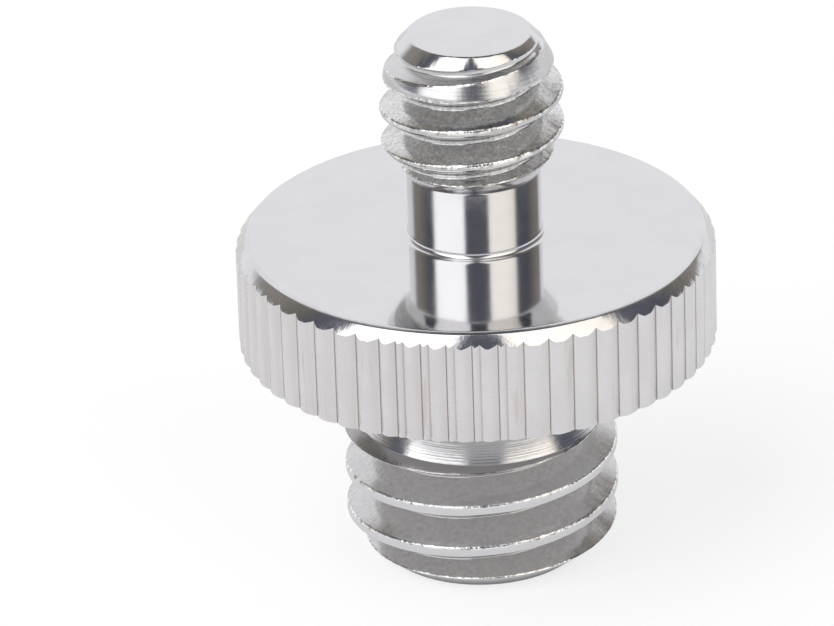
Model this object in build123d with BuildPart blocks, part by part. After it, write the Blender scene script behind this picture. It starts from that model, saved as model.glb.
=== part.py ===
from build123d import *
from math import radians, tan
import os

# Tripod thread adapter: one piece of plated steel, turned from bar. A large screw below,
# a knurled flange to turn it by, and a small screw on a plain neck above.
# Millimetres, +Z up, origin at the centre of the face that it stands on.

# Lower screw, 3/8 inch with 16 threads to the inch. The groove height is that of a
# groove's middle on the +X side, above the end face.
low_major_d = 9.45
low_root_d = 7.36
low_pitch = 25.4 / 16
low_end_d = 7.0
low_end_height = 1.0
low_thread_length = 4.6
low_crest_flat = 0.32
low_crest_ease = 0.02
low_groove_height = 1.57

# Relief between the lower thread and the flange. It sinks in two cones, the upper one
# steeper, then stays plain. The runs are counted from the end of the thread.
relief_shoulder_d = 8.5
relief_shoulder_run = 0.45
relief_d = 7.3
relief_run = 1.4
relief_length = 3.37
relief_chamfer = 0.25

# Flange. Its upper rim has a chamfer, whose inner edge is eased by a flatter cone.
flange_d = 16.44
flange_thickness = 3.96
rim_width = 0.47
rim_drop = 0.48
rim_ease_width = 0.12
rim_ease_drop = 0.06
under_chamfer = 0.1

# Straight knurl round the flange. It is one track of grooves that runs a little more than
# once round, so its two ends overlap at the front. The start is counted from the +X side.
# Each groove has one steep flank and one long one, given here by their widths.
knurl_count = 64
knurl_start = -110.0
knurl_range = 386.45
knurl_depth = 0.13
knurl_steep = 0.14
knurl_long = 0.45

# Upper screw, 1/4 inch with 20 threads to the inch. The groove height is that of a
# groove's middle on the +X side, above the neck.
up_major_d = 6.27
up_root_d = 4.80
up_pitch = 25.4 / 20
up_thread_length = 5.02
up_crest_flat = 0.10
up_crest_ease = 0.06
up_groove_height = 2.31

# Tip of the upper screw: a chamfer, then a lead taper in two steps. Depths are below the tip.
tip_d = 4.32
tip_chamfer = 0.37
lead_d = 5.86
lead_depth = 1.25
taper_depth = 2.1

# Plain neck below the upper thread
neck_d = 4.58
neck_length = 2.42
neck_fillet = 0.2
runout_length = 1.15

# Thread form and cutter clearance
flank_angle = 30
ease_angle = 60
cutter_clearance = 0.02
trim_margin = 0.1
fit = 0.001

# Levels up the axis
flange_base = low_thread_length + relief_length
flange_top = flange_base + flange_thickness
neck_top = flange_top + neck_length
tip_top = neck_top + up_thread_length

# Radii
low_r = low_major_d / 2
relief_shoulder_r = relief_shoulder_d / 2
relief_r = relief_d / 2
flange_r = flange_d / 2
neck_r = neck_d / 2
up_r = up_major_d / 2
tip_r = tip_d / 2
lead_r = lead_d / 2


def cut_groove(major_d, root_d, pitch, crest_flat, crest_ease, first_height, last_height):
    """A 60 degree helical groove, right-handed, that leaves a crest with eased edges.

    Its middle starts at first_height on the +X side, and winds up to last_height.
    """
    major_r = major_d / 2
    root_r = root_d / 2
    mouth = (pitch - crest_flat) / 2
    shoulder = mouth - crest_ease * tan(radians(ease_angle))
    depth = major_r - crest_ease - root_r
    root = shoulder - depth * tan(radians(flank_angle))
    outer = mouth + cutter_clearance * tan(radians(ease_angle))
    reach = major_r - root_r + cutter_clearance
    with BuildPart() as groove:
        with BuildLine():
            Helix(
                pitch=pitch,
                height=last_height - first_height,
                radius=root_r,
                center=(0, 0, first_height),
            )
        with BuildSketch(Plane.XZ):
            with Locations((root_r, first_height)):
                Polygon(
                    (0, -root),
                    (depth, -shoulder),
                    (reach, -outer),
                    (reach, outer),
                    (depth, shoulder),
                    (0, root),
                    align=None,
                )
        sweep(is_frenet=True)
    return groove.part


# Both screws start as a threaded rod, which the turned outline then trims. The grooves run
# past the ends of the threads: off the end faces, and into the relief and round the neck,
# which are thinner than the thread roots.
low_groove = cut_groove(
    low_major_d,
    low_root_d,
    low_pitch,
    low_crest_flat,
    low_crest_ease,
    low_groove_height - 2 * low_pitch,
    low_thread_length + relief_run + low_pitch / 2,
)
up_groove = cut_groove(
    up_major_d,
    up_root_d,
    up_pitch,
    up_crest_flat,
    up_crest_ease,
    neck_top + up_groove_height - 3 * up_pitch,
    tip_top + up_pitch,
)

with BuildPart() as low_screw:
    with BuildSketch():
        Circle(low_r)
    extrude(amount=flange_base)
    add(low_groove, mode=Mode.SUBTRACT)
    # End chamfer and relief
    low_trim_r = low_r + trim_margin
    low_end_reach = low_end_height * (low_trim_r - low_end_d / 2) / (low_r - low_end_d / 2)
    with BuildSketch(Plane.XZ):
        Polygon(
            (0, 0),
            (low_end_d / 2, 0),
            (low_trim_r, low_end_reach),
            (low_trim_r, low_thread_length),
            (low_r, low_thread_length),
            (relief_shoulder_r, low_thread_length + relief_shoulder_run),
            (relief_r, low_thread_length + relief_run),
            (relief_r, flange_base),
            (0, flange_base),
            align=None,
        )
    revolve(axis=Axis.Z, mode=Mode.INTERSECT)

with BuildPart() as up_screw:
    with BuildSketch(Plane.XY.offset(flange_top)):
        Circle(up_r)
    extrude(amount=tip_top - flange_top)
    add(up_groove, mode=Mode.SUBTRACT)
    # Neck, run-out cone, lead taper and tip chamfer
    with BuildSketch(Plane.XZ):
        runout_reach = runout_length * (up_r + trim_margin - neck_r) / (up_r - neck_r)
        taper_reach = (taper_depth - lead_depth) * trim_margin / (up_r - lead_r)
        Polygon(
            (0, flange_top),
            (neck_r, flange_top),
            (neck_r, neck_top),
            (up_r + trim_margin, neck_top + runout_reach),
            (up_r + trim_margin, tip_top - taper_depth - taper_reach),
            (lead_r, tip_top - lead_depth),
            (tip_r + tip_chamfer, tip_top - tip_chamfer),
            (tip_r, tip_top),
            (0, tip_top),
            align=None,
        )
    revolve(axis=Axis.Z, mode=Mode.INTERSECT)

with BuildPart() as adapter_body:
    # Flange, with an eased upper rim and a small chamfer below
    with BuildSketch(Plane.XZ):
        Polygon(
            (0, flange_top),
            (0, flange_base),
            (flange_r - under_chamfer, flange_base),
            (flange_r, flange_base + under_chamfer),
            (flange_r, flange_top - rim_drop),
            (flange_r - rim_width + rim_ease_width, flange_top - rim_ease_drop),
            (flange_r - rim_width, flange_top),
            align=None,
        )
    revolve(axis=Axis.Z)

    # Knurl: straight grooves over the whole height of the rim, cut from a little outside it
    with BuildSketch(Plane.XY.offset(flange_base)):
        with PolarLocations(flange_r, knurl_count, knurl_start, knurl_range, endpoint=True):
            knurl_spread = 1 + cutter_clearance / knurl_depth
            Polygon(
                (-knurl_depth, 0),
                (cutter_clearance, -knurl_long * knurl_spread),
                (cutter_clearance, knurl_steep * knurl_spread),
                align=None,
            )
    extrude(amount=flange_thickness, mode=Mode.SUBTRACT)

    # Screws, with a chamfer under the flange and a fillet above it
    add(low_screw.part)
    add(up_screw.part)
    flat_rings = adapter_body.edges().filter_by(GeomType.CIRCLE)
    low_joint = flat_rings.filter_by_position(Axis.Z, flange_base - fit, flange_base + fit)
    chamfer(low_joint.sort_by(SortBy.RADIUS)[0], length=relief_chamfer)
    up_joint = adapter_body.edges().filter_by(GeomType.CIRCLE)
    up_joint = up_joint.filter_by_position(Axis.Z, flange_top - fit, flange_top + fit)
    fillet(up_joint.sort_by(SortBy.RADIUS)[0], radius=neck_fillet)

adapter_body.part.label = "adapter_body"

os.makedirs("parts", exist_ok=True)
export_step(adapter_body.part, "parts/adapter_body.step")
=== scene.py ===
import bpy
from math import acos, cos, hypot, pi, radians, sin, tan
from mathutils import Matrix, Vector, noise


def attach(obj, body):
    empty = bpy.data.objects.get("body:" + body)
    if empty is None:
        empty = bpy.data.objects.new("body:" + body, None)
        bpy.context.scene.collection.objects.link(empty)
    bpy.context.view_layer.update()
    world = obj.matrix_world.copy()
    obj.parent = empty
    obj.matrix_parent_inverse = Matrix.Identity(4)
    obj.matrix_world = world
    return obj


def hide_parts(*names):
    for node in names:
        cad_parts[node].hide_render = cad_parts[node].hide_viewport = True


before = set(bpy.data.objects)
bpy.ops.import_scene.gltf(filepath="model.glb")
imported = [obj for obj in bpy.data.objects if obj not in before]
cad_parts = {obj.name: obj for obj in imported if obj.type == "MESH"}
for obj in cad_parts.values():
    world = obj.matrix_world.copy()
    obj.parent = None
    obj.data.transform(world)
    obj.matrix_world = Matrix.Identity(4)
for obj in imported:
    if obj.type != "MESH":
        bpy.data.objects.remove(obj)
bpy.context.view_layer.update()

# Photograph's size, and the camera that it was taken with
PHOTO_W = 834
PHOTO_H = 626
SENSOR_MM = 36.0
FOCAL_PX = 6995.0
CAMERA_DISTANCE = 0.240
CAMERA_ELEVATION = radians(26.36)
CAMERA_ROLL = radians(-1.65)
CLIP_NEAR = 0.01
CLIP_FAR = 10.0

# Height of the point on the axis that the camera aims at, and the pixel where it falls
TARGET_HEIGHT = 0.00997
TARGET_PX = (476.6, 281.0)

# Part's sizes in millimetres. They are those of its solid, apart from the root and crest of
# the upper thread, the widths of the knurl's arches, and the tip's face and chamfer. The
# flange is a hair smaller, so that it stays inside the solid's box.
MM = 0.001
FLANK_ANGLE = radians(30)
LOW_R = 4.725
LOW_ROOT = 3.68
LOW_PITCH = 25.4 / 16
LOW_FLAT = 0.32
LOW_GROOVE = 1.57
LOW_END_R = 3.5
LOW_END_HEIGHT = 1.0
LOW_THREAD = 4.6
RELIEF_SHOULDER_R = 4.25
RELIEF_SHOULDER_RUN = 0.45
RELIEF_R = 3.65
RELIEF_RUN = 1.4
RELIEF_CHAMFER = 0.25
FLANGE_R = 8.217
FLANGE_BASE = 7.97
FLANGE_TOP = 11.93
RIM_WIDTH = 0.47
RIM_DROP = 0.48
RIM_EASE_WIDTH = 0.12
RIM_EASE_DROP = 0.06
UNDER_CHAMFER = 0.1
KNURL_COUNT = 64
KNURL_START = -110.0
KNURL_RANGE = 386.45
KNURL_DEPTH = 0.13
KNURL_RIGHT = 0.34
KNURL_LEFT = 0.56
UP_R = 3.135
UP_ROOT = 2.34
UP_PITCH = 25.4 / 20
UP_FLAT = 0.20
UP_GROOVE = 2.31
NECK_R = 2.29
NECK_TOP = 14.35
NECK_FILLET = 0.2
RUNOUT = 1.15
TIP_TOP = 19.37
TIP_R = 2.08
TIP_CHAMFER_WIDTH = 0.44
TIP_CHAMFER_DROP = 0.46
LEAD_R = 2.93
LEAD_DEPTH = 1.25
TAPER_DEPTH = 2.1


def make_camera():
    """Aims the camera so that the target on the part's axis falls on its pixel."""
    back = Vector((0, -cos(CAMERA_ELEVATION), sin(CAMERA_ELEVATION)))
    forward = -back
    level_right = Vector((1, 0, 0))
    level_up = level_right.cross(forward)
    right = level_right * cos(CAMERA_ROLL) + level_up * sin(CAMERA_ROLL)
    up = level_up * cos(CAMERA_ROLL) - level_right * sin(CAMERA_ROLL)
    across = (TARGET_PX[0] - PHOTO_W / 2) / FOCAL_PX
    above = (PHOTO_H / 2 - TARGET_PX[1]) / FOCAL_PX
    view = (forward - right * across - up * above).normalized()
    right = (right - view * right.dot(view)).normalized()
    up = right.cross(view)
    data = bpy.data.cameras.new("camera")
    data.sensor_fit = "HORIZONTAL"
    data.sensor_width = SENSOR_MM
    data.lens = FOCAL_PX * SENSOR_MM / PHOTO_W
    data.clip_start = CLIP_NEAR
    data.clip_end = CLIP_FAR
    camera = bpy.data.objects.new("camera", data)
    bpy.context.scene.collection.objects.link(camera)
    turn = Matrix((right, up, -view)).transposed().to_4x4()
    place = Vector((0, 0, TARGET_HEIGHT)) + back * CAMERA_DISTANCE
    camera.matrix_world = Matrix.Translation(place) @ turn
    bpy.context.scene.camera = camera


class Nodes:
    """Adds shader nodes to a tree and links them."""

    def __init__(self, tree):
        self.tree = tree
        self.tree.nodes.clear()

    def add(self, kind, **settings):
        node = self.tree.nodes.new(kind)
        for name, value in settings.items():
            setattr(node, name, value)
        return node

    def link(self, source, target):
        self.tree.links.new(source, target)

    def put(self, socket, value):
        """Links a socket to another one, or sets its value."""
        if isinstance(value, bpy.types.NodeSocket):
            self.link(value, socket)
        elif value is not None:
            socket.default_value = value

    def math(self, operation, a, b=None, c=None, clamp=False):
        node = self.add("ShaderNodeMath", operation=operation, use_clamp=clamp)
        for socket, value in zip(node.inputs, (a, b, c)):
            self.put(socket, value)
        return node.outputs[0]

    def map_range(self, kind, value, low, high, to_low, to_high):
        node = self.add("ShaderNodeMapRange", interpolation_type=kind, clamp=True)
        self.put(node.inputs["Value"], value)
        self.put(node.inputs["From Min"], low)
        self.put(node.inputs["From Max"], high)
        self.put(node.inputs["To Min"], to_low)
        self.put(node.inputs["To Max"], to_high)
        return node.outputs[0]

    def ramp(self, value, low, high, to_low=0.0, to_high=1.0):
        """Smooth step from low to high, or down from low to high if low is the larger."""
        return self.map_range("SMOOTHSTEP", value, low, high, to_low, to_high)

    def line(self, value, low, high, to_low=0.0, to_high=1.0):
        """Straight ramp from low to high."""
        return self.map_range("LINEAR", value, low, high, to_low, to_high)

    def mix(self, factor, a, b):
        """Colour mix from a to b, which are the node's sockets 6 and 7."""
        node = self.add("ShaderNodeMix", data_type="RGBA")
        self.put(node.inputs[0], factor)
        self.put(node.inputs[6], a)
        self.put(node.inputs[7], b)
        return node.outputs[2]

    def xyz(self, vector):
        node = self.add("ShaderNodeSeparateXYZ")
        self.link(vector, node.inputs[0])
        return node.outputs

    def vector(self, x, y, z):
        node = self.add("ShaderNodeCombineXYZ")
        for socket, value in zip(node.inputs, (x, y, z)):
            self.put(socket, value)
        return node.outputs[0]

    def length(self, x, y):
        """Distance from the axis."""
        squares = self.math("ADD", self.math("MULTIPLY", x, x), self.math("MULTIPLY", y, y))
        return self.math("SQRT", squares)

    def noise(self, vector, scale, detail=3.0, rough=0.6):
        node = self.add("ShaderNodeTexNoise")
        self.put(node.inputs["Vector"], vector)
        node.inputs["Scale"].default_value = scale
        node.inputs["Detail"].default_value = detail
        node.inputs["Roughness"].default_value = rough
        return node.outputs["Fac"]

    def mark(self, name):
        """Value of one of the mesh's own marks."""
        node = self.add("ShaderNodeAttribute", attribute_type="GEOMETRY", attribute_name=name)
        return node.outputs["Fac"]


# Studio's tones
WALL = (0.97, 0.975, 1.0, 1)
SCREEN_LEFT = (1.76, 1.76, 1.77, 1)
SCREEN_RIGHT = (1.56, 1.49, 1.38, 1)
SCREEN_EDGE = (1.12, 1.04, 0.90, 1)
GAP = (0.105, 0.11, 0.14, 1)
SIDES = (0.20, 0.188, 0.165, 1)
CORNER = (0.29, 0.27, 0.25, 1)
ZENITH = (0.10, 0.10, 0.11, 1)
WHITE = (1, 1, 1, 1)

# Studio's edges in degrees, each from where it starts to where it is complete. Azimuths are
# from the camera's side, positive to its right, and elevations are from the floor.
CORNER_SIDE = (98.0, 118.0)
WALL_SIDE = (124.0, 138.0)
ZENITH_RISE = (58.0, 80.0)
GAP_SIDE = (104.0, 86.0)
GAP_RISE = (84.0, 74.0)
SCREEN_FOOT = (12.0, 20.0)
SCREEN_TOP = (78.0, 72.0)
RIGHT_TOP = (3.0, -5.0)
WARM_SIDE = (45.0, 100.0)
TABLE_RISE = (14.0, 8.0)
INNER_BLUR = 2.0
OUTER_BLUR = 4.0

# On the right the room's edges lie further round, by up to 13 degrees, low down only
LEAN_SIDE = (0.0, 60.0, 0.0, 13.0)
LEAN_RISE = (40.0, 28.0)

# Sides of the screens, each with two elevations and its azimuth at both, and the top of the
# right screen, with two azimuths and its elevation at both
LEFT_INNER = (26.0, 64.0, 18.0, 10.0)
LEFT_OUTER = (28.0, 52.0, 75.0, 73.0)
RIGHT_INNER = (26.0, 64.0, 24.0, 12.0)
RIGHT_OUTER = (28.0, 52.0, 74.0, 80.0)
RIGHT_TOP_LINE = (25.0, 80.0, 76.0, 62.0)


def lit_screen(n, across, elevation, inner, outer):
    """Share of a lit screen in each direction; across is the azimuth towards its side."""
    inside = n.math("SUBTRACT", across, n.line(elevation, *inner))
    beyond = n.math("SUBTRACT", across, n.line(elevation, *outer))
    width = n.math(
        "MULTIPLY",
        n.ramp(inside, -INNER_BLUR, INNER_BLUR),
        n.ramp(beyond, OUTER_BLUR, -OUTER_BLUR),
    )
    height = n.math("MULTIPLY", n.ramp(elevation, *SCREEN_FOOT), n.ramp(elevation, *SCREEN_TOP))
    return n.math("MULTIPLY", width, height)


def make_world():
    """Studio by direction: two lit screens beside the camera, and a pale wall behind."""
    world = bpy.data.worlds.new("studio")
    bpy.context.scene.world = world
    world.use_nodes = True
    n = Nodes(world.node_tree)
    x, y, z = n.xyz(n.add("ShaderNodeTexCoord").outputs["Generated"])
    azimuth = n.math("DEGREES", n.math("ARCTAN2", x, n.math("MULTIPLY", y, -1.0)))
    elevation = n.math("DEGREES", n.math("ARCSINE", z))
    side = n.math("ABSOLUTE", azimuth)

    # Pale wall behind the part, dark room at its sides and above it
    lean = n.math("MULTIPLY", n.line(azimuth, *LEAN_SIDE), n.line(elevation, *LEAN_RISE))
    leaning_side = n.math("SUBTRACT", side, lean)
    colour = n.mix(n.ramp(leaning_side, *CORNER_SIDE), SIDES, CORNER)
    colour = n.mix(n.ramp(leaning_side, *WALL_SIDE), colour, WALL)
    colour = n.mix(n.ramp(elevation, *ZENITH_RISE), colour, ZENITH)

    # Dark gap round the camera, and the two lit screens beside it
    near = n.math("MULTIPLY", n.ramp(leaning_side, *GAP_SIDE), n.ramp(elevation, *GAP_RISE))
    colour = n.mix(near, colour, GAP)
    leftwards = n.math("MULTIPLY", azimuth, -1.0)
    left = lit_screen(n, leftwards, elevation, LEFT_INNER, LEFT_OUTER)
    colour = n.mix(left, colour, SCREEN_LEFT)
    right = lit_screen(n, azimuth, elevation, RIGHT_INNER, RIGHT_OUTER)
    top = n.math("SUBTRACT", elevation, n.line(azimuth, *RIGHT_TOP_LINE))
    right = n.math("MULTIPLY", right, n.ramp(top, *RIGHT_TOP))
    right_tone = n.mix(n.ramp(azimuth, *WARM_SIDE), SCREEN_RIGHT, SCREEN_EDGE)
    colour = n.mix(right, colour, right_tone)

    # Pale surroundings close to the table, all round
    colour = n.mix(n.ramp(elevation, *TABLE_RISE), colour, WALL)

    # Camera looks at plain white where it misses the floor
    rays = n.add("ShaderNodeLightPath")
    colour = n.mix(rays.outputs["Is Camera Ray"], colour, WHITE)
    background = n.add("ShaderNodeBackground")
    n.link(colour, background.inputs["Color"])
    n.link(background.outputs[0], n.add("ShaderNodeOutputWorld").inputs["Surface"])


# Lamp's strength, spread and direction
LAMP_ENERGY = 1.3
LAMP_SPREAD = radians(70)
LAMP_FROM = (-0.8, -0.35, 0.85)


def make_lamp():
    """Soft light from the left, which only the floor takes: metal doesn't mirror it."""
    data = bpy.data.lights.new("lamp", "SUN")
    data.energy = LAMP_ENERGY
    data.angle = LAMP_SPREAD
    lamp = bpy.data.objects.new("lamp", data)
    bpy.context.scene.collection.objects.link(lamp)
    lamp.rotation_euler = Vector(LAMP_FROM).to_track_quat("Z", "Y").to_euler()
    lamp.visible_glossy = False


# Floor: half its side, its glow to the camera and in the metal, and its own grey. Close to
# the part's foot the glow that the metal mirrors is dimmed into a painted contact shadow.
FLOOR_HALF = 0.8
FLOOR_SEEN = 0.725
FLOOR_MIRRORED = 0.515
FLOOR_TONE = 0.28
PAINTED_CONTACT_SHADOW = 0.12
CONTACT_SHADOW_WIDTH = 0.5


def make_floor():
    """Pale table that the part stands on, with its own tones for the camera and the metal, and a
    painted contact shadow round the foot.
    """
    mesh = bpy.data.meshes.new("floor")
    corners = [
        (x * FLOOR_HALF, y * FLOOR_HALF, 0) for x, y in ((-1, -1), (1, -1), (1, 1), (-1, 1))
    ]
    mesh.from_pydata(corners, [], [(0, 1, 2, 3)])
    floor = bpy.data.objects.new("floor", mesh)
    bpy.context.scene.collection.objects.link(floor)
    material = bpy.data.materials.new("floor")
    material.use_nodes = True
    n = Nodes(material.node_tree)
    rays = n.add("ShaderNodeLightPath")
    x, y, _ = n.xyz(n.add("ShaderNodeTexCoord").outputs["Object"])
    # Painted contact shadow: the glow that the metal mirrors is dimmed near the foot
    foot = LOW_END_R * MM
    clear = (LOW_END_R + CONTACT_SHADOW_WIDTH) * MM
    mirrored = n.ramp(n.length(x, y), foot, clear, PAINTED_CONTACT_SHADOW, FLOOR_MIRRORED)
    glow_strength = n.math(
        "ADD",
        n.math("MULTIPLY", rays.outputs["Is Camera Ray"], FLOOR_SEEN),
        n.math("MULTIPLY", rays.outputs["Is Glossy Ray"], mirrored),
    )
    diffuse = n.add("ShaderNodeBsdfDiffuse")
    diffuse.inputs["Color"].default_value = (FLOOR_TONE, FLOOR_TONE, FLOOR_TONE, 1)
    glow = n.add("ShaderNodeEmission")
    glow.inputs["Color"].default_value = WHITE
    n.link(glow_strength, glow.inputs["Strength"])
    both = n.add("ShaderNodeAddShader")
    n.link(diffuse.outputs[0], both.inputs[0])
    n.link(glow.outputs[0], both.inputs[1])
    n.link(both.outputs[0], n.add("ShaderNodeOutputMaterial").inputs["Surface"])
    mesh.materials.append(material)


# Sections are lists of (height, radius) from low to high, in millimetres. Their corners are
# rounded, those of sharp bends by a smaller radius.
SAME_POINT = 0.004
STRAIGHT = 1e-6
LEAST_BEND = radians(4)
SHARP_BEND = radians(80)
SHARP_SHARE = 0.3
SIDE_SHARE = 0.45


def radius_on(outline, h):
    """Radius of an outline at a height."""
    for (h0, r0), (h1, r1) in zip(outline, outline[1:]):
        if h <= h1:
            return r0 if h1 == h0 else r0 + (r1 - r0) * (h - h0) / (h1 - h0)
    return outline[-1][1]


def clip_below(points, outline):
    """Section of an uncut thread, cut off by the turned outline.

    The result follows whichever of the two is nearer the axis, from the outline's lower end
    to its upper one.
    """
    low = outline[0][0]
    high = outline[-1][0]
    heights = sorted({h for h, r in points if low < h < high} | {h for h, r in outline})
    section = []
    previous = None
    for h in heights:
        a = radius_on(points, h)
        b = radius_on(outline, h)
        if previous is not None:
            h0, a0, b0 = previous
            if (a0 - b0) * (a - b) < 0:
                t = (a0 - b0) / ((a0 - b0) - (a - b))
                section.append((h0 + (h - h0) * t, a0 + (a - a0) * t))
        section.append((h, min(a, b)))
        previous = (h, a, b)
    return section


def simplify(section):
    """Drops points that sit on top of the one before, or on a straight run."""
    kept = [section[0]]
    for h, r in section[1:-1]:
        if hypot(h - kept[-1][0], r - kept[-1][1]) > SAME_POINT:
            kept.append((h, r))
    last_h, last_r = section[-1]
    if hypot(last_h - kept[-1][0], last_r - kept[-1][1]) <= SAME_POINT and len(kept) > 1:
        kept.pop()
    kept.append(section[-1])
    out = [kept[0]]
    for corner, after in zip(kept[1:], kept[2:]):
        (h0, r0), (h1, r1), (h2, r2) = out[-1], corner, after
        cross = (h1 - h0) * (r2 - r1) - (r1 - r0) * (h2 - h1)
        if abs(cross) > STRAIGHT:
            out.append(corner)
    out.append(kept[-1])
    return out


def soften(section, radius, steps=3):
    """Rounds each corner of a section, over less than half of its sides."""
    out = [section[0]]
    for a, c, b in zip(section, section[1:], section[2:]):
        da = hypot(a[0] - c[0], a[1] - c[1])
        db = hypot(b[0] - c[0], b[1] - c[1])
        turn = ((c[0] - a[0]) * (b[0] - c[0]) + (c[1] - a[1]) * (b[1] - c[1])) / (da * db)
        bend = acos(max(-1.0, min(1.0, turn)))
        if bend < LEAST_BEND:
            out.append(c)
            continue
        blunt = radius if bend < SHARP_BEND else radius * SHARP_SHARE
        d = min(blunt * tan(bend / 2), SIDE_SHARE * da, SIDE_SHARE * db)
        p = (c[0] + (a[0] - c[0]) * d / da, c[1] + (a[1] - c[1]) * d / da)
        q = (c[0] + (b[0] - c[0]) * d / db, c[1] + (b[1] - c[1]) * d / db)
        for k in range(steps + 1):
            t = k / steps
            h = p[0] * (1 - t) ** 2 + 2 * c[0] * t * (1 - t) + q[0] * t * t
            r = p[1] * (1 - t) ** 2 + 2 * c[1] * t * (1 - t) + q[1] * t * t
            out.append((h, r))
    out.append(section[-1])
    return out


# Guard points beside the corners of long stretches, so that these shade flat
GUARD_NEAR = 0.04
GUARD_LENGTH = 0.12


def brace(section):
    """Adds points beside the corners of long stretches."""
    out = [section[0]]
    for (h0, r0), (h1, r1) in zip(section, section[1:]):
        length = hypot(h1 - h0, r1 - r0)
        if length > GUARD_LENGTH:
            for share in (GUARD_NEAR / length, 1 - GUARD_NEAR / length):
                out.append((h0 + (h1 - h0) * share, r0 + (r1 - r0) * share))
        out.append((h1, r1))
    return out


# Turns of an uncut thread beyond the ends that it is cut off at
SPARE_TURNS = 2


def thread_points(turn, major, root, pitch, flat, groove_height, low, high):
    """Section of an uncut right-hand thread in the half plane at angle turn from +X."""
    mouth = (pitch - flat) / 2
    foot = mouth - (major - root) * tan(FLANK_ANGLE)
    points = []
    middle = groove_height + pitch * turn / (2 * pi)
    k = int((low - middle) / pitch) - SPARE_TURNS
    while middle + k * pitch < high + SPARE_TURNS * pitch:
        m = middle + k * pitch
        points += [(m - mouth, major), (m - foot, root), (m + foot, root), (m + mouth, major)]
        k += 1
    return points


# Outlines start and end on a flat face, over this width of it. The lower one passes clear
# of the crests between its end chamfer and its relief, and meets them again in a step.
FACE_WIDTH = 0.4
CREST_CLEARANCE = 0.2
STEP = 0.001
FILLET_STEPS = 6


def low_outline():
    """Turned outline of the lower screw, from the end chamfer to the flange."""
    reach = LOW_R + CREST_CLEARANCE
    return [
        (0.0, LOW_END_R),
        (LOW_END_HEIGHT * (reach - LOW_END_R) / (LOW_R - LOW_END_R), reach),
        (LOW_THREAD - STEP, reach),
        (LOW_THREAD, LOW_R),
        (LOW_THREAD + RELIEF_SHOULDER_RUN, RELIEF_SHOULDER_R),
        (LOW_THREAD + RELIEF_RUN, RELIEF_R),
        (FLANGE_BASE - RELIEF_CHAMFER, RELIEF_R),
        (FLANGE_BASE, RELIEF_R + RELIEF_CHAMFER),
    ]


def up_outline():
    """Turned outline of the upper screw, from the neck's fillet to the tip."""
    outline = []
    for k in range(FILLET_STEPS + 1):
        a = pi / 2 * k / FILLET_STEPS
        h = FLANGE_TOP + NECK_FILLET * (1 - cos(a))
        outline.append((h, NECK_R + NECK_FILLET * (1 - sin(a))))
    outline.append((NECK_TOP, NECK_R))
    outline.append((NECK_TOP + RUNOUT, UP_R))
    outline.append((TIP_TOP - TAPER_DEPTH, UP_R))
    outline.append((TIP_TOP - LEAD_DEPTH, LEAD_R))
    outline.append((TIP_TOP - TIP_CHAMFER_DROP, TIP_R + TIP_CHAMFER_WIDTH))
    outline.append((TIP_TOP, TIP_R))
    return outline


# Marks of a section's points: the crest mark is for turned surface, which lies this close
# to the crest or the outline, and the edge mark grows with the bend. The lower edges of
# the crests take only a share of it, which keeps the painted glints on their upper edges.
# The lead has a crest mark of its own.
CREST_BAND = 0.03
TURNED_BAND = 0.012
EDGE_FROM = 0.06
EDGE_RANGE = 0.14
RISE_BAND = 0.002
LOWER_EDGE = 0.3
LEAD_CREST = 0.75
TINY = 1e-9


def add_marks(section, outline, major):
    """Adds the crest mark and the edge mark to each point of a section."""
    marked = []
    for i, (h, r) in enumerate(section):
        turned = r > major - CREST_BAND or r > radius_on(outline, h) - TURNED_BAND
        edge = 0.0
        if 0 < i < len(section) - 1:
            h0, r0 = section[i - 1]
            h1, r1 = section[i + 1]
            cross = (r - r0) * (h1 - h) - (h - h0) * (r1 - r)
            bend = cross / (hypot(h - h0, r - r0) * hypot(h1 - h, r1 - r) + TINY)
            edge = max(0.0, min(1.0, (bend - EDGE_FROM) / EDGE_RANGE))
            if r1 > r - RISE_BAND:
                edge *= LOWER_EDGE
        marked.append((h, r, 1.0 if turned else 0.0, edge))
    return marked


# Depth of the wear, scales of its noise, and radii of the softened corners
WEAR = 0.02
LOW_WEAR_SCALE = 7.0
UP_WEAR_SCALE = 8.0
LOW_SOFT = 0.09
UP_SOFT = 0.10


def worn(section, turn, scale):
    """Moves the edges of a section inwards a little, by a noise over the surface."""
    out = []
    for h, r, crest, edge in section:
        if edge > 0:
            place = Vector((r * cos(turn), r * sin(turn), h)) * scale
            r -= WEAR * edge * (0.5 + 0.5 * noise.noise(place))
        out.append((h, r, crest, edge))
    return out


def low_section(turn):
    """Section of the lower screw, with its marks."""
    thread = thread_points(
        turn, LOW_R, LOW_ROOT, LOW_PITCH, LOW_FLAT, LOW_GROOVE, 0.0, FLANGE_BASE
    )
    outline = low_outline()
    section = simplify(clip_below(thread, outline))
    section = brace(soften([(0.0, LOW_END_R - FACE_WIDTH)] + section, LOW_SOFT))
    return worn(add_marks(section, outline, LOW_R), turn, LOW_WEAR_SCALE)


def up_section(turn):
    """Section of the upper screw, with its marks."""
    groove = NECK_TOP + UP_GROOVE
    thread = thread_points(turn, UP_R, UP_ROOT, UP_PITCH, UP_FLAT, groove, FLANGE_TOP, TIP_TOP)
    outline = up_outline()
    section = simplify(clip_below(thread, outline))
    section = brace(soften(section + [(TIP_TOP, TIP_R - FACE_WIDTH)], UP_SOFT))
    section = worn(add_marks(section, outline, UP_R), turn, UP_WEAR_SCALE)
    marked = []
    for h, r, crest, edge in section:
        if h > TIP_TOP - LEAD_DEPTH:
            crest = max(crest, LEAD_CREST)
        marked.append((h, r, crest, edge))
    return marked


# Columns of a screw's mesh, the difference in height below which points of two columns are
# joined level, the crest mark above which a face counts as turned, and the width of the
# bands that keep flat faces flat
SCREW_COLUMNS = 328
SAME_HEIGHT = 0.007
TURNED_CREST = 0.5
GUARD = 0.05

# Marks that each vertex carries
MARKS = ("crest", "edge", "land", "groove_line")


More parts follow.
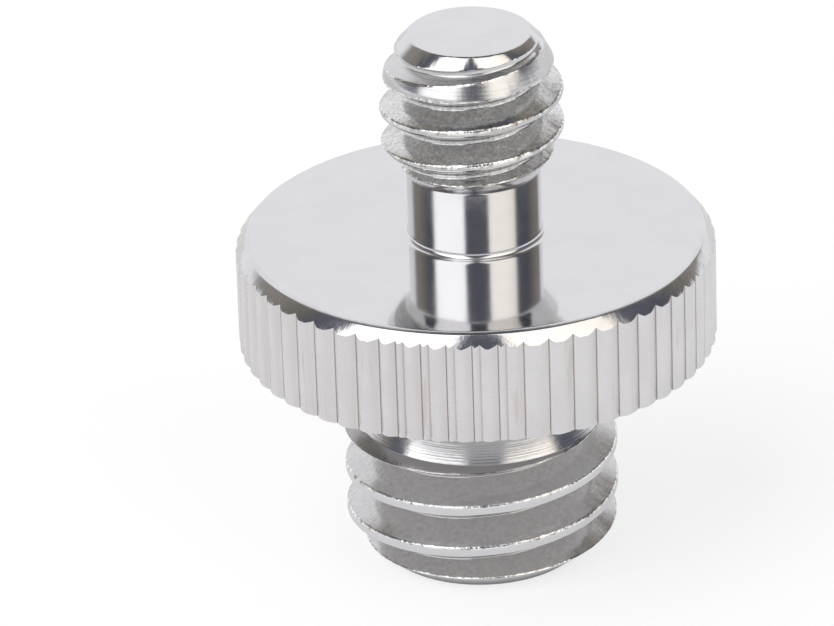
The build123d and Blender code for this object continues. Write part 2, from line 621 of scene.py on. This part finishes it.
class Shell:
    """Triangles and quads of one closed mesh, with its vertices shared."""

    def __init__(self):
        self.points = []
        self.marks = []
        self.faces = []
        self.zones = []
        self.normals = {}

    def vertex(self, r, turn, h, crest=0.0, edge=0.0, land=0.5, groove_line=0.0):
        """Adds a vertex in millimetres, with its marks; returns its index."""
        self.points.append((r * cos(turn) * MM, r * sin(turn) * MM, h * MM))
        self.marks.append((crest, edge, land, groove_line))
        return len(self.points) - 1

    def face(self, corners, zone):
        self.faces.append(corners)
        self.zones.append(zone)

    def join(self, corners, low, high, zone_at):
        """Adds a face of a screw, in the zone that its height and its crest marks give."""
        crest = min(self.marks[corner][0] for corner in corners)
        self.face(corners, zone_at((high + low) / 2, crest > TURNED_CREST))

    def zip_columns(self, a, b, zone_at):
        """Joins two neighbouring columns, each a list of (height, vertex) from low to high."""
        i = j = 0
        while i < len(a) - 1 or j < len(b) - 1:
            a_low, a_corner = a[i]
            b_low, b_corner = b[j]
            a_high, a_next = a[i + 1] if i < len(a) - 1 else (None, None)
            b_high, b_next = b[j + 1] if j < len(b) - 1 else (None, None)
            both = a_high is not None and b_high is not None
            if both and abs(a_high - b_high) < SAME_HEIGHT and abs(a_low - b_low) < SAME_HEIGHT:
                self.join((a_corner, b_corner, b_next, a_next), a_low, a_high, zone_at)
                i += 1
                j += 1
            elif b_high is None or (both and a_high < b_high):
                self.join((a_corner, b_corner, a_next), a_low, a_high, zone_at)
                i += 1
            else:
                self.join((a_corner, b_corner, b_next), b_low, b_high, zone_at)
                j += 1

    def zip_rings(self, inner, outer, zone, up=True):
        """Joins two rings about the axis, each a list of (turn, vertex) in order."""
        i = j = 0
        n, m = len(inner), len(outer)
        while i < n or j < m:
            next_i = inner[(i + 1) % n][0] + (2 * pi if i + 1 >= n else 0)
            next_j = outer[(j + 1) % m][0] + (2 * pi if j + 1 >= m else 0)
            if j >= m or (i < n and next_i <= next_j):
                corners = (inner[i % n][1], outer[j % m][1], inner[(i + 1) % n][1])
                i += 1
            else:
                corners = (inner[i % n][1], outer[j % m][1], outer[(j + 1) % m][1])
                j += 1
            self.face(corners if up else corners[::-1], zone)

    def guard(self, ring, r, h, zone, outwards, up=True):
        """Lays a narrow flat band beside a ring, so that the face next to it shades flat."""
        band = [(turn, self.vertex(r, turn, h)) for turn, _ in ring]
        inner, outer = (ring, band) if outwards else (band, ring)
        for k in range(len(ring)):
            m = (k + 1) % len(ring)
            corners = (inner[k][1], outer[k][1], outer[m][1], inner[m][1])
            self.face(corners if up else corners[::-1], zone)
        return band

    def fan(self, ring, h, zone, up=True):
        """Closes a ring with triangles that meet on the axis."""
        centre = self.vertex(0, 0, h)
        for k in range(len(ring)):
            a = ring[k][1]
            b = ring[(k + 1) % len(ring)][1]
            self.face((centre, a, b) if up else (centre, b, a), zone)


def screw(shell, section_at, zone_at):
    """Builds a screw from the section in each of its half planes; returns its end rings."""
    strips = []
    for c in range(SCREW_COLUMNS):
        turn = 2 * pi * c / SCREW_COLUMNS
        strip = []
        for h, r, crest, edge in section_at(turn):
            strip.append((h, shell.vertex(r, turn, h, crest=crest, edge=edge)))
        strips.append((turn, strip))
    for c in range(SCREW_COLUMNS):
        shell.zip_columns(strips[c][1], strips[(c + 1) % SCREW_COLUMNS][1], zone_at)
    low = [(turn, strip[0][1]) for turn, strip in strips]
    high = [(turn, strip[-1][1]) for turn, strip in strips]
    return low, high


# Columns of the knurl lie at these distances from each groove, and are dropped where they
# are closer than the least turn. Its sides have two rows between the chamfer and the rim.
# The lower edge is rounded, by a point at this share of the chamfer inwards and upwards.
KNURL_OFFSETS = (
    -0.42, -0.32, -0.24, -0.17, -0.11, -0.06, -0.022, 0.0, 0.022, 0.06, 0.12, 0.19, 0.27, 0.36
)
LEAST_TURN = 0.0012
KNURL_ROWS = (9.2, 10.4)
UNDER_SHARE = 0.3

# Distances from a groove's bottom that are darkened, and how dark the outer one is
GROOVE_BOTTOM = 0.004
GROOVE_SIDE = 0.03
SIDE_LINE_SHARE = 0.55


def knurl_grooves():
    """Angles of the knurl's grooves, which overlap at the front."""
    step = KNURL_RANGE / (KNURL_COUNT - 1)
    return [radians(KNURL_START + step * k) for k in range(KNURL_COUNT)]


def knurl_turns(grooves):
    """Angles of the knurl's columns, in order."""
    turns = set()
    for groove in grooves:
        for offset in KNURL_OFFSETS:
            turns.add(round((groove + offset / FLANGE_R) % (2 * pi), 6))
    spaced = []
    for turn in sorted(turns):
        if not spaced or turn - spaced[-1] > LEAST_TURN:
            spaced.append(turn)
    return spaced


def knurl_depth_at(turn, grooves):
    """Depth of the knurl at an angle: each land is a low arch, with its crown to the left."""
    depth = 0.0
    for groove in grooves:
        across = ((turn - groove + pi) % (2 * pi) - pi) * FLANGE_R
        if 0 <= across < KNURL_RIGHT:
            depth = max(depth, KNURL_DEPTH * (1 - across / KNURL_RIGHT) ** 2)
        elif -KNURL_LEFT < across < 0:
            depth = max(depth, KNURL_DEPTH * (1 + across / KNURL_LEFT) ** 2)
    return depth


def land_marks(turn, grooves):
    """Share of the way across the land at an angle, and how dark the groove line is there."""
    before = min((turn - groove) % (2 * pi) for groove in grooves)
    after = min((groove - turn) % (2 * pi) for groove in grooves)
    gap = min(before, after) * FLANGE_R
    if gap < GROOVE_BOTTOM:
        return 1.0, 1.0
    return before / (before + after), SIDE_LINE_SHARE if gap < GROOVE_SIDE else 0.0


# Radius and steps of the rim's soft corners, and the column's point where the rim starts
RIM_SOFT = 0.16
RIM_STEPS = 5
RIM_START = 5


def rim_profile():
    """Rim from the side up to the top face, as (radius, height), with soft corners."""
    corners = [
        (FLANGE_TOP - RIM_DROP - FACE_WIDTH, FLANGE_R),
        (FLANGE_TOP - RIM_DROP, FLANGE_R),
        (FLANGE_TOP - RIM_EASE_DROP, FLANGE_R - RIM_WIDTH + RIM_EASE_WIDTH),
        (FLANGE_TOP, FLANGE_R - RIM_WIDTH),
        (FLANGE_TOP, FLANGE_R - RIM_WIDTH - FACE_WIDTH),
    ]
    return [(r, h) for h, r in soften(corners, RIM_SOFT, RIM_STEPS)][1:-1]


def profile_normals(profile):
    """Normals of a turned profile at its points, as (outwards, upwards)."""
    steps = [Vector(b) - Vector(a) for a, b in zip(profile, profile[1:])]
    sides = [Vector((step.y, -step.x)).normalized() for step in steps]
    return [(a + b).normalized() for a, b in zip(sides[:1] + sides, sides + sides[-1:])]


def rim_part(rim, slopes, side):
    """Rim's points and slopes from where the knurl's side, at its radius, comes out."""
    last = len(rim) - 1
    out_at = 0.0
    for k in range(last):
        if rim[k][0] >= side > rim[k + 1][0]:
            out_at = k + (rim[k][0] - side) / (rim[k][0] - rim[k + 1][0])
    points = []
    for k in range(len(rim)):
        at = out_at + (last - out_at) * k / last
        low = min(int(at), last - 1)
        share = at - low
        r = rim[low][0] + (rim[low + 1][0] - rim[low][0]) * share
        h = rim[low][1] + (rim[low + 1][1] - rim[low][1]) * share
        points.append((r, h, slopes[low].lerp(slopes[low + 1], share)))
    return points


def flange_column(shell, turn, grooves, rim, slopes):
    """Column of the flange's side and rim at an angle, as (vertex, zone) from low to high."""
    side = FLANGE_R - knurl_depth_at(turn, grooves)
    column = [
        (side - UNDER_CHAMFER, FLANGE_BASE, "under"),
        (side - UNDER_CHAMFER * UNDER_SHARE, FLANGE_BASE + UNDER_CHAMFER * UNDER_SHARE, "knurl"),
        (side, FLANGE_BASE + UNDER_CHAMFER, "knurl"),
    ]
    column += [(side, h, "knurl") for h in KNURL_ROWS]
    normals = []
    for r, h, (outwards, upwards) in rim_part(rim, slopes, side):
        column.append((r, h, "rim" if normals else "knurl"))
        normals.append(Vector((outwards * cos(turn), outwards * sin(turn), upwards)))
    land, groove_line = land_marks(turn, grooves)
    column = [(shell.vertex(r, turn, h, land=land, groove_line=groove_line), zone) for r, h, zone in column]
    shell.normals.update(zip([vertex for vertex, _ in column[RIM_START:]], normals))
    return column


def flange(shell, low_ring, high_ring):
    """Builds the flange between the two screws; returns the edges where its rim starts."""
    grooves = knurl_grooves()
    turns = knurl_turns(grooves)
    rim = rim_profile()
    slopes = profile_normals(rim)
    columns = [flange_column(shell, turn, grooves, rim, slopes) for turn in turns]
    rim_edges = set()
    for a, b in zip(columns, columns[1:] + columns[:1]):
        for k in range(len(a) - 1):
            shell.face((a[k][0], b[k][0], b[k + 1][0], a[k + 1][0]), a[k + 1][1])
        rim_edges.add(tuple(sorted((a[RIM_START][0], b[RIM_START][0]))))

    # Underside and top, each with a guard band at both of its edges
    under_ring = [(turn, column[0][0]) for turn, column in zip(turns, columns)]
    top_ring = [(turn, column[-1][0]) for turn, column in zip(turns, columns)]
    joint_r = RELIEF_R + RELIEF_CHAMFER + GUARD
    under_r = FLANGE_R - KNURL_DEPTH - UNDER_CHAMFER - GUARD
    inner = shell.guard(low_ring, joint_r, FLANGE_BASE, "under", True, up=False)
    outer = shell.guard(under_ring, under_r, FLANGE_BASE, "under", False, up=False)
    shell.zip_rings(inner, outer, "under", up=False)
    fillet_r = NECK_R + NECK_FILLET + GUARD
    top_r = min(r for r, h in rim) - GUARD
    inner = shell.guard(high_ring, fillet_r, FLANGE_TOP, "top", True)
    outer = shell.guard(top_ring, top_r, FLANGE_TOP, "top", False)
    shell.zip_rings(inner, outer, "top", up=True)
    return rim_edges


def low_zone(h, turned):
    """Zone of a face of the lower screw."""
    if h > LOW_THREAD + RELIEF_SHOULDER_RUN:
        return "relief"
    return "shoulder" if turned and h > LOW_THREAD else "thread"


# Tip's zone reaches a little below its chamfer, over the softened corner
TIP_OVERLAP = 0.02


def up_zone(h, turned):
    """Zone of a face of the upper screw."""
    if h < NECK_TOP:
        return "neck"
    if h > TIP_TOP - TIP_CHAMFER_DROP - TIP_OVERLAP:
        return "tip"
    return "lead" if h > TIP_TOP - LEAD_DEPTH else "up_thread"


# Edges that bend by more than this are shaded sharp
SHARP_ANGLE = radians(38)


def shade_rim(mesh, shell, rim_slot):
    """Gives the rim the exact normals of its profile, and leaves the others as they are."""
    plain = Vector((0, 0, 0))
    normals = []
    for polygon in mesh.polygons:
        for loop in polygon.loop_indices:
            vertex = mesh.loops[loop].vertex_index
            on_rim = polygon.material_index == rim_slot
            normals.append(shell.normals.get(vertex, plain) if on_rim else plain)
    mesh.normals_split_custom_set(normals)


def make_adapter(finishes):
    """Builds the whole part as one mesh, with a material for each of its zones."""
    shell = Shell()
    bottom, low_joint = screw(shell, low_section, low_zone)
    neck_joint, tip = screw(shell, up_section, up_zone)
    shell.fan(bottom, 0.0, "end", up=False)
    shell.fan(tip, TIP_TOP, "tip", up=True)
    rim_edges = flange(shell, low_joint, neck_joint)
    mesh = bpy.data.meshes.new("adapter")
    mesh.from_pydata(shell.points, [], shell.faces)
    slots = {}
    for slot, (zone, finish) in enumerate(finishes.items()):
        mesh.materials.append(make_plating("plating_" + zone, **finish))
        slots[zone] = slot
    for polygon, zone in zip(mesh.polygons, shell.zones):
        polygon.material_index = slots[zone]
        polygon.use_smooth = True
    for k, name in enumerate(MARKS):
        mark = mesh.attributes.new(name, "FLOAT", "POINT")
        mark.data.foreach_set("value", [marks[k] for marks in shell.marks])
    mesh.set_sharp_from_angle(angle=SHARP_ANGLE)
    for edge in mesh.edges:
        if tuple(sorted(edge.vertices)) in rim_edges:
            edge.use_edge_sharp = True
    mesh.validate()
    shade_rim(mesh, shell, slots["rim"])
    mesh.update()
    adapter = bpy.data.objects.new("adapter", mesh)
    bpy.context.scene.collection.objects.link(adapter)
    return adapter


def scaled(colour, factor):
    """Colour times a factor, with full alpha."""
    return tuple(c * factor for c in colour[:3]) + (1,)


# Plating's colours
STEEL = (0.73, 0.725, 0.735)
# Painted shade: the flange's bottom face takes a darker copy of the steel
SHADED = (0.66, 0.655, 0.665)
# Painted shade: the shoulder below the flange is a much darker copy of the steel
SHOULDER_SHADE = (0.42, 0.41, 0.41)
BRIGHT = (0.79, 0.79, 0.82)
# Painted shade: the lower thread's flanks are a darker copy of its crests' colour
LOW_FLANK_SHADE = (0.58, 0.57, 0.57)
UP_CREST = (0.68, 0.675, 0.68)
UP_FLANK = (0.66, 0.655, 0.65)
LAND = (0.85, 0.838, 0.855)
# Brownish tone of the knurl's lands: partly stain, partly painted shade
STAIN_AND_SHADE_COLOUR = (0.77, 0.735, 0.73, 1)
STAIN = (0.70, 0.62, 0.58, 1)
# Painted highlight along each land's edge before the next groove
HIGHLIGHT_LINE = (0.93, 0.92, 0.93, 1)
# Dark line along the knurl's grooves
GROOVE_LINE_COLOUR = (0.33, 0.30, 0.30, 1)
SPECK = (0.95, 0.94, 0.92, 1)
# Painted glints along the worn edges, and dark dashes beside them
EDGE_GLINT = (0.99, 0.97, 0.93, 1)
EDGE_DARK_DASH = (0.36, 0.30, 0.26, 1)
FINE_LIFT = 1.12
DARK_SPECK = 0.35
LAND_MIX = 0.6

# Scales of its noises, per metre, and the height of its bumps, in metres
CLOUD_SCALE = 700.0
FINE_SCALE = 6000.0
TINY_SCALE = 12000.0
STREAK_SCALE = 2600.0
STREAK_STRETCH = 0.10
DASH_SCALE = 4200.0
WAVE_SCALE = 1500.0
RING_SCALE = 16000.0
NICK_SCALE = 8000.0
WAVE_HEIGHT = 0.00002
RING_HEIGHT = 0.00001
FINE_HEIGHT = 0.00001
TINY_HEIGHT = 0.000006
NICK_HEIGHT = 0.000025

# Ranges over which the tones follow a noise, a mark or the way that a face looks
CLOUD_TONES = (0.36, 0.62)
FINE_TONES = (0.35, 0.65)
CREST_TONES = (0.35, 0.75)
# Painted shade on flanks that look down follows this range of their normal's height
UNDERSIDE_SHADE_TONES = (-0.2, -0.6)
# Part of each land where the brownish tone comes in, a painted shade, and the streaks that carry
# it, a stain
LAND_SHADE_PART = (0.35, 0.90)
WARM_STREAKS = (0.30, 0.60, 0.35, 1.0)
STAIN_STREAKS = (0.60, 0.72)
# Part of each land that takes the painted highlight line
HIGHLIGHT_PART = (0.93, 0.97)
GROOVE_LINE_TONES = (0.25, 1.0)
FLANK_PART = (0.9, 0.4)
SPECK_CLOUDS = (0.42, 0.60)
SPECKS_LIGHT = (0.55, 0.62, 0.0, 1.6)
SPECKS_DARK = (0.42, 0.32)
# Range of the edge mark that takes the painted glints and dark dashes
EDGE_DASH_TONES = (0.25, 0.7)
GLINT_DASHES = (0.50, 0.56)
DASHES_DARK = (0.42, 0.36)

# Roughness: its ranges over the noises, and its shares on worn edges and on crests
NOISE_RANGE = (0.3, 0.7)
CLOUD_ROUGH = 0.15
FINE_ROUGH = 0.02
WORN_ROUGH = (0.0, 1.0, 1.0, 0.5)
CREST_ROUGH = (0.3, 1.0, 1.0, 0.55)


def flank_tone(n, colour, cloud, fine, flank, underside_shade, mottle):
    """Colour of a thread, with its own tone on the flanks, and painted shade where they look
    down.
    """
    clouds = n.ramp(cloud, *CLOUD_TONES)
    tone = n.mix(clouds, scaled(flank, 1 - 2 * mottle), scaled(flank, 1))
    tone = n.mix(n.ramp(fine, *FINE_TONES), tone, scaled(flank, FINE_LIFT))
    facing = n.xyz(n.add("ShaderNodeNewGeometry").outputs["Normal"])[2]
    # Painted shade: flanks that look down are darkened
    tone = n.mix(n.ramp(facing, *UNDERSIDE_SHADE_TONES), tone, scaled(flank, underside_shade))
    return n.mix(n.ramp(n.mark("crest"), *CREST_TONES), tone, colour)


def land_tone(n, colour, x, y, z):
    """Colour of the knurl: brownish streaks, partly stain and partly painted shade, stains, a
    painted highlight line and a dark line along each groove.
    """
    land = n.mark("land")
    stretched = n.vector(x, y, n.math("MULTIPLY", z, STREAK_STRETCH))
    streak = n.noise(stretched, STREAK_SCALE)
    # Brownish streaks, stronger towards the far side of each land: partly stain, partly painted
    # shade over the land's long slope
    stain_and_shade = n.math("MULTIPLY", n.ramp(land, *LAND_SHADE_PART), n.ramp(streak, *WARM_STREAKS))
    colour = n.mix(stain_and_shade, colour, STAIN_AND_SHADE_COLOUR)
    stained = n.math("MULTIPLY", n.ramp(streak, *STAIN_STREAKS), LAND_MIX)
    colour = n.mix(stained, colour, STAIN)
    # Painted highlight: a light line just before each groove
    highlighted = n.math("MULTIPLY", n.ramp(land, *HIGHLIGHT_PART), LAND_MIX)
    colour = n.mix(highlighted, colour, HIGHLIGHT_LINE)
    # Dark line along each groove's bottom
    return n.mix(n.ramp(n.mark("groove_line"), *GROOVE_LINE_TONES), colour, GROOVE_LINE_COLOUR)


def make_plating(
    name,
    base,
    rough,
    mottle=0.06,
    grain=0.1,
    waves=0.0,
    rings=0.0,
    specks=0.0,
    nicks_and_glints=0.0,
    flank=None,
    underside_shade=1.0,
    lands=False,
):
    """Bright plating over machined steel.

    base and rough are its colour and roughness. mottle is the depth of its cloudy tone.
    grain, waves and rings are the strengths of its fine bumps, of its slow unevenness and
    of its turning marks. specks adds small light and dark spots and their bumps to the
    flanks, and nicks_and_glints nicks the worn edges and paints glints and dark dashes
    along them. flank is the colour of a thread's flanks, with underside_shade as its share,
    a painted shade, where they look down, and lands gives the tones of the knurl, with
    its painted highlight lines and painted shade.
    """
    material = bpy.data.materials.new(name)
    material.use_nodes = True
    n = Nodes(material.node_tree)
    shader = n.add("ShaderNodeBsdfPrincipled")
    shader.inputs["Metallic"].default_value = 1.0
    where = n.add("ShaderNodeTexCoord").outputs["Object"]
    x, y, z = n.xyz(where)
    cloud = n.noise(where, CLOUD_SCALE, detail=4.0)
    fine = n.noise(where, FINE_SCALE)
    tiny = n.noise(where, TINY_SCALE)
    edge = n.mark("edge")

    # Colour: clouds over the base, then flanks, lands, specks, and painted glints and dark dashes
    # on the edges
    colour = n.mix(n.ramp(cloud, *CLOUD_TONES), scaled(base, 1 - mottle), scaled(base, 1))
    if flank:
        colour = flank_tone(n, colour, cloud, fine, flank, underside_shade, mottle)
    if lands:
        colour = land_tone(n, colour, x, y, z)
    if specks > 0:
        rough_part = n.math("MULTIPLY", n.ramp(n.mark("crest"), *FLANK_PART), specks)
        patch = n.math("MULTIPLY", n.ramp(cloud, *SPECK_CLOUDS), n.ramp(tiny, *SPECKS_LIGHT))
        light = n.math("MULTIPLY", patch, rough_part, clamp=True)
        dark = n.math("MULTIPLY", n.ramp(tiny, *SPECKS_DARK), rough_part)
        colour = n.mix(light, colour, SPECK)
        colour = n.mix(dark, colour, scaled(base, DARK_SPECK))
    # Painted glints and dark dashes along the worn edges; the nicks below are bumps
    if nicks_and_glints > 0:
        dash = n.noise(where, DASH_SCALE)
        edge_dashes = n.ramp(edge, *EDGE_DASH_TONES)
        light = n.math("MULTIPLY", edge_dashes, n.ramp(dash, *GLINT_DASHES))
        dark = n.math("MULTIPLY", edge_dashes, n.ramp(dash, *DASHES_DARK))
        colour = n.mix(light, colour, EDGE_GLINT)
        colour = n.mix(dark, colour, EDGE_DARK_DASH)
    n.link(colour, shader.inputs["Base Color"])

    # Roughness: uneven with the clouds and the grain, lower on worn edges and on crests
    slow = n.line(cloud, *NOISE_RANGE, rough * (1 - CLOUD_ROUGH), rough * (1 + CLOUD_ROUGH))
    quick = n.line(fine, *NOISE_RANGE, -FINE_ROUGH, FINE_ROUGH)
    roughness = n.math("ADD", slow, quick)
    if nicks_and_glints > 0:
        roughness = n.math("MULTIPLY", roughness, n.line(edge, *WORN_ROUGH))
    if specks > 0:
        roughness = n.math("MULTIPLY", roughness, n.line(n.mark("crest"), *CREST_ROUGH))
    n.link(roughness, shader.inputs["Roughness"])

    # Bumps, from the slowest to the finest
    layers = []
    if waves > 0:
        layers.append((n.noise(where, WAVE_SCALE, rough=0.5), WAVE_HEIGHT, waves))
    if rings > 0:
        turned = n.vector(n.length(x, y), 0.0, z)
        layers.append((n.noise(turned, RING_SCALE, rough=0.7), RING_HEIGHT, rings))
    layers.append((fine, FINE_HEIGHT, grain))
    if specks > 0:
        layers.append((tiny, TINY_HEIGHT, rough_part))
    if nicks_and_glints > 0:
        nicks = n.noise(where, NICK_SCALE, detail=2.0)
        layers.append((nicks, NICK_HEIGHT, n.math("MULTIPLY", edge, nicks_and_glints)))
    normal = None
    for height, distance, strength in layers:
        bump = n.add("ShaderNodeBump")
        bump.inputs["Distance"].default_value = distance
        n.put(bump.inputs["Strength"], strength)
        n.link(height, bump.inputs["Height"])
        if normal:
            n.link(normal, bump.inputs["Normal"])
        normal = bump.outputs[0]
    n.link(normal, shader.inputs["Normal"])
    n.link(shader.outputs[0], n.add("ShaderNodeOutputMaterial").inputs["Surface"])
    return material


# Finish of each zone of the part
FINISHES = {
    "end": dict(base=STEEL, rough=0.25),
    # Lower thread: its flanks take a painted shade
    "thread": dict(
        base=BRIGHT, rough=0.16, mottle=0.03, rings=0.25, grain=0.15, nicks_and_glints=1.0, flank=LOW_FLANK_SHADE
    ),
    "shoulder": dict(base=SHOULDER_SHADE, rough=0.22, grain=0.8, waves=0.4),
    # Shoulder: painted shade in a dark base
    "relief": dict(base=STEEL, rough=0.14, rings=0.5, waves=0.15, grain=0.15),
    # Flange's bottom face: painted shade in a darker base
    "under": dict(base=SHADED, rough=0.32, mottle=0.1),
    "knurl": dict(base=LAND, rough=0.27, mottle=0.05, grain=0.03, lands=True),
    "rim": dict(base=STEEL, rough=0.12, waves=0.25, grain=0.12),
    "top": dict(base=STEEL, rough=0.07, mottle=0.02, grain=0.02, rings=0.02),
    "neck": dict(base=STEEL, rough=0.16, mottle=0.03, grain=0.04),
    "up_thread": dict(
        base=UP_CREST,
        rough=0.14,
        mottle=0.12,
        waves=0.10,
        grain=0.10,
        specks=0.42,
        nicks_and_glints=0.8,
        flank=UP_FLANK,
        underside_shade=0.62,
    ),
    "lead": dict(
        base=UP_CREST,
        rough=0.22,
        waves=0.10,
        grain=0.10,
        rings=0.8,
        nicks_and_glints=0.8,
        flank=UP_FLANK,
        underside_shade=0.62,
    ),
    "tip": dict(base=STEEL, rough=0.12, mottle=0.03, waves=0.15, grain=0.05),
}

make_camera()
make_world()
make_lamp()
make_floor()
adapter = make_adapter(FINISHES)
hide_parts("adapter_body")
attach(adapter, "root")

bpy.context.scene.view_settings.view_transform = "Standard"
